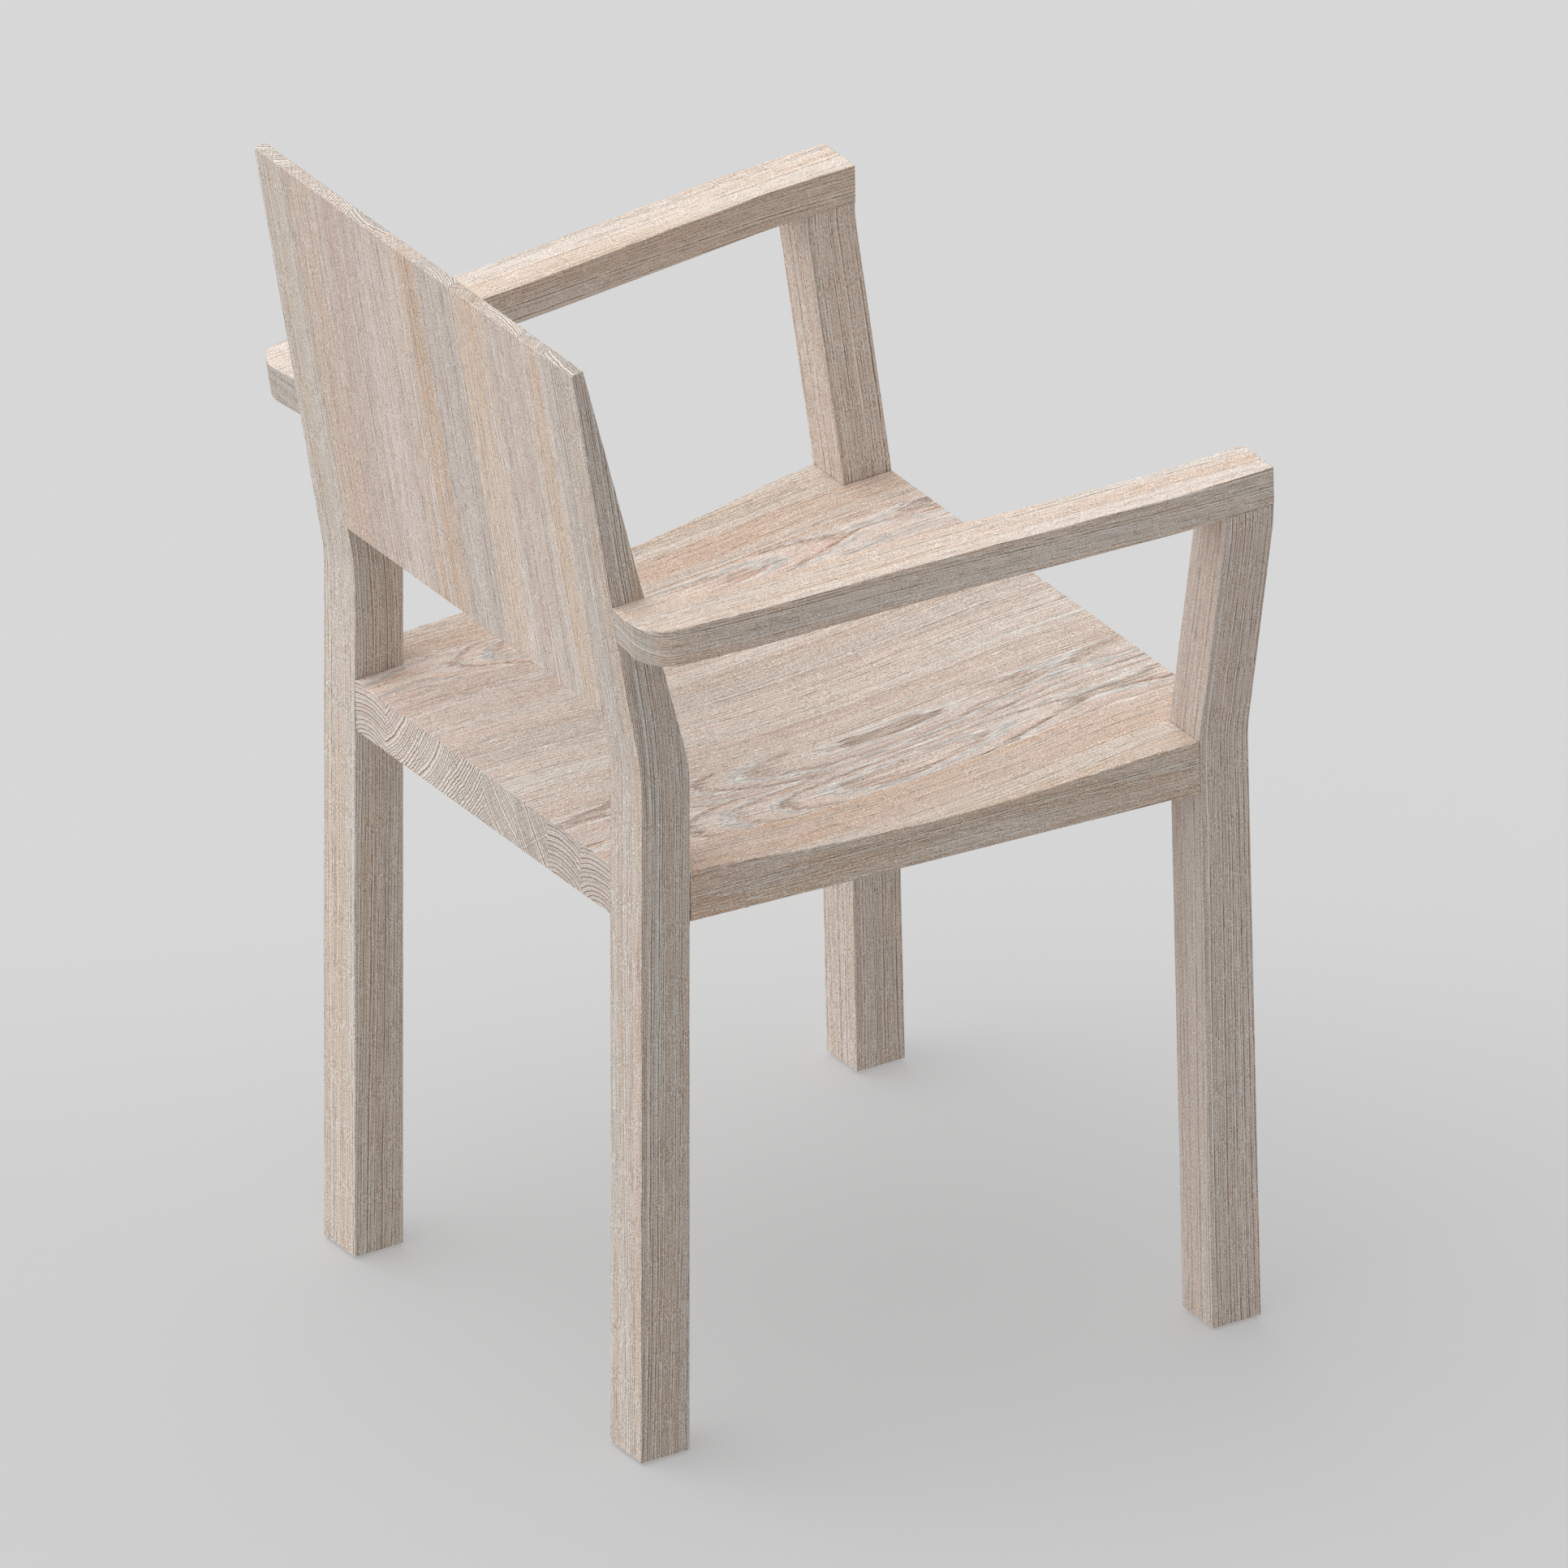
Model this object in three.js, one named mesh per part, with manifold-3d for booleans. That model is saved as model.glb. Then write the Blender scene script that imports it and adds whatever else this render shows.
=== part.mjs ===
// Armchair of pale limed oak, in millimetres, with +Z up.
// The front faces -Y, and the sitter's left is +X. The origin is on the floor under the middle of the chair.
//
// Each rear leg runs on upwards as a bent, thinning post of the back. Each front leg kinks outwards at the
// seat to meet an armrest. The thick seat of glued staves is dished on top and notched round all four legs.
// A panel of upright staves, thinning to the top, fills the back. Dowels hold every joint.

import * as THREE from 'three';
import { mergeVertices } from 'three/addons/utils/BufferGeometryUtils.js';
import Module from 'manifold-3d';

const wasm = await Module();
wasm.setup();

// Rear legs: square below the bend, then leaning back and thinning to the top
const rear_width = 407;
const rear_leg_side = 40;
const bend_height = 537.5;
const front_bend_drop = 1.5;
const bend_reach = 12;
const back_lean_deg = 9.85;
const back_length = 335;
const back_top_thickness = 9.6;

// Back panel, flush with the posts on both faces and at the top
const panel_start = 36;
const back_stave_width = 43.5;

// Seat: straight underneath, dished from front to back on top
const seat_rear_height = 453.3;
const seat_rake_deg = 1.35;
const seat_depth = 471;
const seat_thickness = 40;
const dish_start = 33;
const dish_length = 384;
const dish_depth = 9;
const dish_exponent = 1.5;
const dish_steps = 28;
const seat_staves_between_legs = 10;

// Front legs: square to the seat up to its top, then splayed out, and upright again under the armrest
const front_width = 495;
const front_leg_width = 39;
const front_leg_depth = 39.8;
const knee_reach = 12;
const leg_splay = 40.3;
const top_bend_drop = 11;

// Armrests: a strip of one width that swings outwards as it runs forwards
const arm_rear_height = 677.6;
const arm_rake_deg = 1.07;
const arm_thickness = 29;
const arm_width = 39.3;
const arm_rear_reach = 52.6;
const arm_station_shares = [0.107, 0.44, 0.848];
const arm_swing_shares = [0.18, 0.49, 1];
const arm_bend_reaches = [10, 40, 20];
const arm_corner_reach = 28;
const cove_run = 8.6;
const cove_reach = 14;

// Dowels and their places along the joints
const dowel_radius = 5;
const thin_dowel_radius = 4;
const dowel_sides = 16;
const dowel_in_leg = 22;
const dowel_in_seat = 27;
const dowel_in_post = 20;
const dowel_in_rail = 25;
const dowel_in_leg_top = 23;
const dowel_in_arm = 17;
const pair_shares = [0.3, 0.7];
const post_pair_shares = [0.27, 0.73];
const panel_dowel_shares = [0.12, 0.42, 0.72];

// Foot glides, knocked into the end grain of the legs
const glide_radius = 12;
const glide_height = 2;
const glide_bevel = 0.8;
const glide_nail_radius = 2;
const glide_nail_length = 15;
const glide_sides = 32;

// Clearances, and how finely curves are stepped
const glue_gap = 0.3;
const dowel_play = 0.3;
const dowel_end_gap = 0.5;
const overrun = 6;
const arc_steps = 5;

const radians = THREE.MathUtils.degToRad;
const rear_half = rear_width / 2;
const rear_inner = rear_half - rear_leg_side;
const front_half = front_width / 2;
const front_inner = front_half - front_leg_width;
const leg_rear_face = seat_depth - front_leg_depth;
const sole_height = glide_height + glue_gap;

// Frames: the chair stands upright, and the seat with the front legs and the armrests are tilted in it.
// In each of them y runs backwards from the rear faces of the rear legs, so a distance forward is -y.
const chair = new THREE.Group();
const seat_frame = new THREE.Group();
const arm_frame = new THREE.Group();
seat_frame.position.z = seat_rear_height;
seat_frame.rotation.x = -radians(seat_rake_deg);
arm_frame.position.z = arm_rear_height;
arm_frame.rotation.x = -radians(arm_rake_deg);
chair.add(seat_frame, arm_frame);
chair.updateMatrixWorld(true);

// A line of the side view, as two points [forward, height] of one frame, seen from another frame.
function seenFrom(frame, line, home) {
  return line.map(([forward, height]) => {
    const point = frame.worldToLocal(home.localToWorld(new THREE.Vector3(0, -forward, height)));
    return [-point.y, point.z];
  });
}

function forwardAt([[f0, h0], [f1, h1]], height) {
  return f0 + (f1 - f0) * (height - h0) / (h1 - h0);
}

function heightAt([[f0, h0], [f1, h1]], forward) {
  return h0 + (h1 - h0) * (forward - f0) / (f1 - f0);
}

// The closed outline through corners [across, up, reach], of which the first two are sharp. A corner is
// rounded from its reach before it to its reach beyond it.
function outline(corners) {
  const shape = new THREE.Shape();
  shape.moveTo(corners[0][0], corners[0][1]);
  for (let i = 1; i < corners.length; i++) {
    const [x, y, reach] = corners[i];
    if (reach) {
      roundCorner(shape, new THREE.Vector2(x, y), reach, corners[(i + 1) % corners.length]);
    } else {
      shape.lineTo(x, y);
    }
  }
  return shape;
}

// Rounds one corner with the arc that touches both of its sides.
function roundCorner(shape, corner, reach, [next_x, next_y]) {
  const back = shape.currentPoint.clone().sub(corner).normalize();
  const ahead = new THREE.Vector2(next_x, next_y).sub(corner).normalize();
  const half_angle = back.angleTo(ahead) / 2;
  const radius = reach * Math.tan(half_angle);
  const to_centre = back.clone().add(ahead).setLength(reach / Math.cos(half_angle));
  const start = back.multiplyScalar(reach).sub(to_centre);
  const end = ahead.multiplyScalar(reach).sub(to_centre);
  const centre = corner.clone().add(to_centre);
  shape.absarc(centre.x, centre.y, radius, start.angle(), end.angle(), start.cross(end) < 0);
}

// Sweeps an outline straight along one axis. It lies in the two axes that follow, in the order x, y, z.
const unit = { x: new THREE.Vector3(1, 0, 0), y: new THREE.Vector3(0, 1, 0), z: new THREE.Vector3(0, 0, 1) };
const sweep_axes = { x: [unit.y, unit.z, unit.x], y: [unit.z, unit.x, unit.y], z: [unit.x, unit.y, unit.z] };

function sweep(shape, axis, low, high) {
  const [across, up, along] = sweep_axes[axis];
  const frame = new THREE.Matrix4().makeBasis(across, up, along.clone().multiplyScalar(high - low));
  frame.setPosition(along.clone().multiplyScalar(low));
  const settings = { depth: 1, bevelEnabled: false, curveSegments: arc_steps };
  return new THREE.ExtrudeGeometry(shape, settings).applyMatrix4(frame);
}

// The span from an inner to an outer distance, on the sitter's left (side 1) or right (side -1).
function span(side, inner, outer) {
  return side > 0 ? [inner, outer] : [-outer, -inner];
}

// Skins the straight lines between two outlines with the same number of points, at two heights.
function loft(lower, upper, low, high) {
  const turned = THREE.ShapeUtils.isClockWise(upper);
  const rings = [lower, upper].map((ring) => (turned ? [...ring].reverse() : ring));
  const count = upper.length;
  const points = rings.flatMap((ring, level) => ring.flatMap((p) => [p.x, p.y, level ? high : low]));
  const faces = THREE.ShapeUtils.triangulateShape(rings[1], []).flatMap(([a, b, c]) => [
    a + count, b + count, c + count, c, b, a,
  ]);
  for (let i = 0; i < count; i++) {
    const next = (i + 1) % count;
    faces.push(i, next, next + count, i, next + count, i + count);
  }
  const geometry = new THREE.BufferGeometry();
  geometry.setAttribute('position', new THREE.Float32BufferAttribute(points, 3));
  geometry.setIndex(faces);
  return geometry;
}

// Booleans, on closed meshes whose shared corners are merged
function toSolid(geometry) {
  const bare = geometry.clone();
  bare.deleteAttribute('normal');
  bare.deleteAttribute('uv');
  const merged = mergeVertices(bare);
  const triVerts = Uint32Array.from(merged.index.array);
  const vertProperties = merged.attributes.position.array;
  return new wasm.Manifold(new wasm.Mesh({ numProp: 3, vertProperties, triVerts }));
}

function cut(geometry, tools) {
  const rest = tools.reduce((solid, tool) => solid.subtract(toSolid(tool)), toSolid(geometry));
  const mesh = rest.getMesh();
  const result = new THREE.BufferGeometry();
  result.setAttribute('position', new THREE.BufferAttribute(mesh.vertProperties, 3));
  result.setIndex(new THREE.BufferAttribute(mesh.triVerts, 1));
  return result;
}

// A tool made in one frame, moved to where it lies in another.
function moved(geometry, home, frame) {
  const matrix = frame.matrixWorld.clone().invert().multiply(home.matrixWorld);
  return geometry.clone().applyMatrix4(matrix);
}

// A slab across the whole chair between two heights of a frame.
function slab(low, high) {
  const box = new THREE.BoxGeometry(2 * front_width, 4 * seat_depth, high - low);
  return box.translate(0, 0, (low + high) / 2);
}

function matte(color, roughness = 0.72) {
  return new THREE.MeshStandardMaterial({ color, roughness, metalness: 0 });
}

function addPiece(frame, name, geometry, material) {
  geometry.computeVertexNormals();
  const mesh = new THREE.Mesh(geometry, material);
  mesh.name = name;
  frame.add(mesh);
}

const hand_names = { 1: 'left', [-1]: 'right' };

// The leaning part of the back in its side view: s runs up the rear face from the bend, n square to it
// towards the front. The front face runs from its own bend to the thin top.
const lean = radians(back_lean_deg);
const front_bend = {
  s: -rear_leg_side * Math.sin(lean) - front_bend_drop * Math.cos(lean),
  n: rear_leg_side * Math.cos(lean) - front_bend_drop * Math.sin(lean),
};

function backThickness(s) {
  const share = (s - front_bend.s) / (back_length - front_bend.s);
  return THREE.MathUtils.lerp(front_bend.n, back_top_thickness, share);
}

function leaning(s, n) {
  return [s * Math.sin(lean) - n * Math.cos(lean), bend_height + s * Math.cos(lean) + n * Math.sin(lean)];
}

const rear_face_line = [0, back_length].map((s) => leaning(s, 0)).map(([y, z]) => [-y, z]);
const front_face_line = [0, back_length].map((s) => leaning(s, backThickness(s))).map(([y, z]) => [-y, z]);

// Where the post's leaning faces lie on the armrest, at a height of the armrest's frame
const post_rear_on_arm = (height) => forwardAt(seenFrom(arm_frame, rear_face_line, chair), height);
const post_front_on_arm = (height) => forwardAt(seenFrom(arm_frame, front_face_line, chair), height);

// The top of the front leg, under the armrest, in the frame of the seat
const leg_middle = leg_rear_face + front_leg_depth / 2;
const arm_underside = [[0, -arm_thickness], [seat_depth, -arm_thickness]];
const leg_top_height = heightAt(seenFrom(seat_frame, arm_underside, arm_frame), leg_middle);
const floor_line = [[0, sole_height], [seat_depth, sole_height]];
const leg_sole_height = heightAt(seenFrom(seat_frame, floor_line, chair), leg_middle);
const leg_front_line = [[seat_depth, 0], [seat_depth, leg_top_height]];
const arm_length = forwardAt(seenFrom(arm_frame, leg_front_line, seat_frame), -arm_thickness / 2);
const arm_front_half = front_half + leg_splay;
const leg_top_middle = arm_front_half - front_leg_width / 2;

// Dowels: each lies on the y axis of its own place, and crosses the joint at y = 0.
const outwards = (side) => new THREE.Euler(0, 0, -side * Math.PI / 2);
const upwards = new THREE.Euler(Math.PI / 2, 0, 0);

function pegShape(radius, low, high, { place, turn }) {
  const peg = new THREE.CylinderGeometry(radius, radius, high - low, dowel_sides);
  peg.translate(0, (low + high) / 2, 0);
  return peg.applyMatrix4(new THREE.Matrix4().makeRotationFromEuler(turn).setPosition(place));
}

function listPegs(side) {
  const hand = hand_names[side];
  const pegs = [];
  const add = (name, frame, radius, before, beyond, place, turn) => {
    pegs.push({ name: `dowel_${name}_${hand}`, frame, radius, before, beyond, place, turn });
  };
  const at = (x, forward, height) => new THREE.Vector3(side * x, -forward, height);
  const across = outwards(side);
  pair_shares.forEach((share, i) => {
    const height = -seat_thickness / 2;
    const rear = share * rear_leg_side;
    const front = leg_rear_face + share * front_leg_depth;
    add(`seat_rear_${i + 1}`, seat_frame, dowel_radius, dowel_in_seat, dowel_in_leg,
      at(rear_inner, rear, height), across);
    add(`seat_front_${i + 1}`, seat_frame, dowel_radius, dowel_in_seat, dowel_in_leg,
      at(front_inner, front, height), across);
    const leg_front = forwardAt(seenFrom(arm_frame, leg_front_line, seat_frame), -arm_thickness);
    add(`arm_front_${i + 1}`, arm_frame, thin_dowel_radius, dowel_in_leg_top, dowel_in_arm,
      at(leg_top_middle, leg_front - share * front_leg_depth, -arm_thickness), upwards);
  });
  post_pair_shares.forEach((share, i) => {
    const height = -arm_thickness / 2;
    const forward = THREE.MathUtils.lerp(post_rear_on_arm(height), post_front_on_arm(height), share);
    add(`arm_rear_${i + 1}`, arm_frame, thin_dowel_radius, dowel_in_post, dowel_in_rail,
      at(rear_half, forward, height), across);
  });
  panel_dowel_shares.forEach((share, i) => {
    const s = THREE.MathUtils.lerp(panel_start, back_length, share);
    const [y, z] = leaning(s, backThickness(s) / 2);
    add(`back_${i + 1}`, chair, thin_dowel_radius, dowel_in_rail, dowel_in_post,
      at(rear_inner, -y, z), across);
  });
  return pegs;
}

const pegs = [1, -1].flatMap(listPegs);

// The holes of all dowels whose name begins with a word, as tools in the frame of the piece they are cut in.
function holes(words, frame) {
  return pegs.filter(({ name }) => words.some((word) => name.startsWith(`dowel_${word}`))).map((peg) => {
    const hole = pegShape(peg.radius + dowel_play, -peg.before, peg.beyond, peg);
    return moved(hole, peg.frame, frame);
  });
}

for (const peg of pegs) {
  const shape = pegShape(peg.radius, dowel_end_gap - peg.before, peg.beyond - dowel_end_gap, peg);
  addPiece(peg.frame, peg.name, shape, matte(0xd8c09a, 0.8));
}

// Foot glides: a bevelled disc on a nail, under the middle of each leg
function glideShape(play) {
  const nail = glide_nail_radius + play;
  const nail_top = glide_height + glide_nail_length + play;
  const profile = [
    [0, 0],
    [glide_radius - glide_bevel, 0],
    [glide_radius, glide_bevel],
    [glide_radius, glide_height],
    [nail, glide_height],
    [nail, nail_top - nail],
    [0, nail_top],
  ];
  const points = profile.map(([r, height]) => new THREE.Vector2(r, height));
  return new THREE.LatheGeometry(points, glide_sides).rotateX(Math.PI / 2);
}

const glide_places = [1, -1].flatMap((side) => {
  const leg_axis = seenFrom(chair, [[leg_middle, 0], [leg_middle, leg_sole_height]], seat_frame);
  const front = forwardAt(leg_axis, sole_height);
  const rear = rear_leg_side / 2;
  const hand = hand_names[side];
  return [
    { name: `glide_rear_${hand}`, x: side * (rear_half - rear_leg_side / 2), forward: rear },
    { name: `glide_front_${hand}`, x: side * (front_half - front_leg_width / 2), forward: front },
  ];
});
const nail_holes = glide_places.map(({ x, forward }) => glideShape(glue_gap).translate(x, -forward, 0));

for (const { name, x, forward } of glide_places) {
  addPiece(chair, name, glideShape(0).translate(x, -forward, 0), matte(0x8f8a84, 0.5));
}

// Rear legs: one side profile with two soft bends, swept across the leg
function rearLeg(side) {
  const profile = outline([
    [0, sole_height],
    [-rear_leg_side, sole_height],
    [-rear_leg_side, bend_height - front_bend_drop, bend_reach],
    leaning(back_length, back_top_thickness),
    leaning(back_length, 0),
    [0, bend_height, bend_reach],
  ]);
  const leg = sweep(profile, 'x', ...span(side, rear_inner, rear_half));
  return cut(leg, [...holes(['seat_rear', 'arm_rear', 'back'], chair), ...nail_holes]);
}

// Front legs: a front profile with two knees, swept through the leg, then cut at the floor and the armrest
function frontLeg(side) {
  const top = leg_top_height + overrun;
  const bottom = leg_sole_height - overrun;
  const upper_knee = leg_top_height - top_bend_drop;
  const [inner, outer] = [side * front_inner, side * front_half];
  const swing = side * leg_splay;
  const profile = outline([
    [bottom, outer],
    [bottom, inner],
    [0, inner, knee_reach],
    [upper_knee, inner + swing, knee_reach],
    [top, inner + swing],
    [top, outer + swing],
    [upper_knee, outer + swing, knee_reach],
    [0, outer, knee_reach],
  ]);
  const leg = sweep(profile, 'y', -seat_depth, -leg_rear_face);
  const below_sole = moved(slab(sole_height - seat_thickness, sole_height), chair, seat_frame);
  const above_top = moved(slab(-arm_thickness - glue_gap, 0), arm_frame, seat_frame);
  const nails = nail_holes.map((hole) => moved(hole, chair, seat_frame));
  return cut(leg, [below_sole, above_top, ...nails, ...holes(['seat_front', 'arm_front'], seat_frame)]);
}

for (const side of [1, -1]) {
  const hand = hand_names[side];
  addPiece(chair, `rear_leg_${hand}`, rearLeg(side), matte(side > 0 ? 0xbfb0a2 : 0xb9aca1));
  addPiece(seat_frame, `front_leg_${hand}`, frontLeg(side), matte(side > 0 ? 0xc2b2a2 : 0xa89b90));
}

// Back panel: upright staves of one wedge-shaped side profile, glued edge to edge between the posts
const back_stave_colors = [0xc6ac92, 0xb9a99f, 0xc4a98c, 0xaaa29c, 0xb5a08d, 0xc8beb2, 0xa5958c, 0xb39c8b];

function staveEdges(width, end) {
  const count = Math.ceil(end / width);
  const half = Array.from({ length: count + 1 }, (_, i) => Math.min(i * width, end));
  return [...half.slice(1).reverse().map((x) => -x), ...half];
}

const back_edges = staveEdges(back_stave_width, rear_inner);
const panel_profile = outline([
  leaning(panel_start, 0),
  leaning(panel_start, backThickness(panel_start)),
  leaning(back_length, back_top_thickness),
  leaning(back_length, 0),
]);

for (let i = 0; i < back_edges.length - 1; i++) {
  const stave = sweep(panel_profile, 'x', back_edges[i], back_edges[i + 1]);
  const color = back_stave_colors[i % back_stave_colors.length];
  addPiece(chair, `back_stave_${i + 1}`, cut(stave, holes(['back'], chair)), matte(color));
}

// Seat: staves of one dished profile run from back to front. The middle ones pass between the front legs,
// and a tapering one on each side ends against the leg's rear face, under the slanting side of the seat.
const seat_stave_colors = [0xd9cbb8, 0xcfae95, 0xc9b5a4, 0xc4b3a8, 0xcbb7a4, 0xd3c6b4];

function seatProfile(front) {
  const dish_middle = dish_start + dish_length / 2;
  const corners = [[0, 0], [0, -seat_thickness], [-front, -seat_thickness], [-front, 0]];
  for (let i = dish_steps; i >= 0; i--) {
    const t = 2 * i / dish_steps - 1;
    const forward = dish_middle + t * dish_length / 2;
    if (forward < front) {
      corners.push([-forward, -dish_depth * (1 - t ** 2) ** dish_exponent]);
    }
  }
  return outline(corners);
}

// What lies outside the slanting side, from the post's front corner to the front leg's rear corner
function besideSeat(side) {
  const start = new THREE.Vector2(side * rear_half, -rear_leg_side);
  const run = new THREE.Vector2(side * front_half, -leg_rear_face).sub(start);
  const corners = [
    start.clone().sub(run),
    start.clone().addScaledVector(run, 2),
    start.clone().addScaledVector(run, 2).setX(side * front_width),
    start.clone().sub(run).setX(side * front_width),
  ];
  return sweep(new THREE.Shape(corners), 'z', -seat_thickness - overrun, overrun);
}

// The notch round a rear leg
function legNotch(side) {
  const [rear, front] = [overrun, -rear_leg_side - glue_gap];
  const [low, high] = [seat_rear_height - 2 * seat_thickness, seat_rear_height + seat_thickness];
  const shape = outline([[rear, low], [front, low], [front, high], [rear, high]]);
  const notch = sweep(shape, 'x', ...span(side, rear_inner - glue_gap, front_width));
  return moved(notch, chair, seat_frame);
}

const seat_inner = front_inner - glue_gap;
const seat_edges = staveEdges(2 * seat_inner / seat_staves_between_legs, seat_inner);
seat_edges.unshift(-front_half);
seat_edges.push(front_half);
const seat_cuts = [
  ...[1, -1].flatMap((side) => [besideSeat(side), legNotch(side)]),
  ...holes(['seat'], seat_frame),
];
const last_stave = seat_edges.length - 2;

for (let i = 0; i <= last_stave; i++) {
  const outermost = i === 0 || i === last_stave;
  const front = outermost ? leg_rear_face - glue_gap : seat_depth;
  const stave = sweep(seatProfile(front), 'x', seat_edges[i], seat_edges[i + 1]);
  const color = seat_stave_colors[Math.min(i, last_stave - i) % seat_stave_colors.length];
  addPiece(seat_frame, `seat_stave_${i + 1}`, cut(stave, seat_cuts), matte(color));
}

// Armrests: the plan of the outer edge is a chain of straight runs with soft bends, the inner edge runs
// beside it, and the rear end leans with the post, rounded outside and coved on to the post inside.
function beside(points, distance) {
  return points.map((point, i) => {
    const before = points[Math.max(i - 1, 0)];
    const after = points[Math.min(i + 1, points.length - 1)];
    const square = after.clone().sub(before).normalize();
    return point.clone().add(new THREE.Vector2(-square.y, square.x).multiplyScalar(distance));
  });
}

function armOutline(side, height) {
  const rear_edge = rear_half + arm_rear_reach;
  const swing = arm_front_half - rear_edge;
  const stations = arm_station_shares.map((share, i) => {
    return new THREE.Vector2(rear_edge + arm_swing_shares[i] * swing, share * arm_length);
  });
  const start = new THREE.Vector2(rear_edge, 0);
  const run = stations[0].clone().sub(start).normalize();
  const post_rear = new THREE.Vector2(rear_half, post_rear_on_arm(height));
  const corner = start.clone().addScaledVector(run, post_rear.clone().sub(start).dot(run));
  const outer = [corner, ...stations, new THREE.Vector2(arm_front_half, arm_length)];
  const inner = beside(outer, arm_width);
  const cove_forward = post_front_on_arm(height) + cove_run;
  const cove = inner[0].clone().addScaledVector(run, (cove_forward - inner[0].y) / run.y);
  const reaches = [arm_corner_reach, ...arm_bend_reaches, 0];
  const corners = [
    [new THREE.Vector2(rear_half, post_front_on_arm(height)), 0],
    [post_rear, 0],
    ...outer.map((point, i) => [point, reaches[i]]),
    ...inner.slice(1).map((point, i) => [point, reaches[i + 1]]).reverse(),
    [cove, cove_reach],
  ];
  return outline(corners.map(([point, reach]) => [side * point.x, -point.y, reach])).getPoints(arc_steps);
}

for (const side of [1, -1]) {
  const strip = loft(armOutline(side, -arm_thickness), armOutline(side, 0), -arm_thickness, 0);
  const arm = cut(strip, holes(['arm'], arm_frame));
  addPiece(arm_frame, `armrest_${hand_names[side]}`, arm, matte(side > 0 ? 0xc9b6a4 : 0xcdb39c));
}

// The origin goes under the middle of the finished chair
const centre = new THREE.Box3().setFromObject(chair, true).getCenter(new THREE.Vector3());
chair.position.set(-centre.x, -centre.y, 0);
chair.updateMatrixWorld(true);

export default chair;
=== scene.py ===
# Armchair of white-limed oak in a pale studio, in metres, with +Z up.
# The chair faces -Y and the sitter's left is +X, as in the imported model.

import math

import bmesh
import bpy
import numpy as np
from mathutils import Matrix, Vector


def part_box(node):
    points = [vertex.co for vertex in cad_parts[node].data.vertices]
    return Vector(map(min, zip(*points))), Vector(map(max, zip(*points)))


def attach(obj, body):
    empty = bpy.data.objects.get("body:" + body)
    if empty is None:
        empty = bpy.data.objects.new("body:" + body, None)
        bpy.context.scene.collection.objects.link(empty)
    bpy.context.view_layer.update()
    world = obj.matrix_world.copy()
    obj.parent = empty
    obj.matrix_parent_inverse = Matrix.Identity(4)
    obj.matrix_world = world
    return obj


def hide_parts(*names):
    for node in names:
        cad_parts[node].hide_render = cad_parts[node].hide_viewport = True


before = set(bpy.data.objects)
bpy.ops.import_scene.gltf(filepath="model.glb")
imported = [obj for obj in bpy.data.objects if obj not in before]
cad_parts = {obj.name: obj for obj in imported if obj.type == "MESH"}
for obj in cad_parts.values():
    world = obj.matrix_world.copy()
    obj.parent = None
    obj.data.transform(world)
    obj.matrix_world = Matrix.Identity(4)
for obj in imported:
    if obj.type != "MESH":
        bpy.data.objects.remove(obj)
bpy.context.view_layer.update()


# Rear legs and posts: one sawn length of oak each, square up to the bend and then leaning back and thinning
# to the top. Sizes are in millimetres: across from the middle, forward from the rear faces, and up.
rear_plane = 1000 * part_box("seat_stave_6")[1].y
sole = 2.3
post_inner, post_outer, post_depth = 163.5, 203.5, 40
bend_height, front_bend_height, bend_reach, grain_bend_reach = 537.5, 536, 12, 60
back_lean = math.radians(9.85)
back_length, back_top_thickness, panel_start = 335, 9.6, 36
easing = 0.7
station_step, weld_distance, crease = 4, 2e-6, math.radians(12)
turn_in = np.linspace(0, math.pi / 2, 4)
hands = {1: "left", -1: "right"}


def kinked(position, knee, reach, slope):
    """How far a line has slanted away: nothing before the knee and slope beyond it, joined by a parabola
    from reach before the knee to reach beyond it."""
    bent = np.clip(position - knee + reach, 0, 2 * reach)
    return slope * (bent ** 2 / (4 * reach) + np.clip(position - knee - reach, 0, None))


def leaning(up, off):
    """Forward and height of a point so far up the rear face of the back from its bend, and off it."""
    return (off * math.cos(back_lean) - up * math.sin(back_lean),
            bend_height + up * math.cos(back_lean) + off * math.sin(back_lean))


def eased(position, *flush):
    """The radius of an edge: nothing where another piece is flush with it, and the easing elsewhere."""
    free = np.ones_like(position)
    for low, high in flush:
        free *= np.clip(np.maximum(low - position, position - high) / easing, 0, 1)
    return easing * free


def stations(low, high, *changes):
    """Even places along a piece, and on each side of every change of its edges."""
    even = np.linspace(low, high, int((high - low) / station_step) + 2)
    shifts = np.add.outer(np.array(changes, float).reshape(-1), (-easing, 0, easing)).reshape(-1)
    inside = shifts[(shifts > low + easing) & (shifts < high - easing)]
    return np.unique(np.round(np.concatenate([even, inside]), 3))


def unit(vectors):
    return vectors / np.maximum(np.linalg.norm(vectors, axis=-1, keepdims=True), 1e-9)


def turned_in(tip, beside, radii, free):
    """The last sections of a bar, from full size to its end face: each lies farther out and is set in on
    its free sides, round a quarter circle."""
    turn = turn_in[:, None, None]
    free = np.array(free, float)[:, None]
    inset = easing * (1 - np.cos(turn))
    to_next, to_last = unit(np.roll(tip, -1, 0) - tip), unit(np.roll(tip, 1, 0) - tip)
    in_both_ways = free * to_last + np.roll(free, 1, 0) * to_next
    sections = tip + unit(beside - tip) * easing * (1 - np.sin(turn)) + inset * in_both_ways
    return sections, np.maximum(radii - inset[..., 0] * free.max(), 0)


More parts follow.
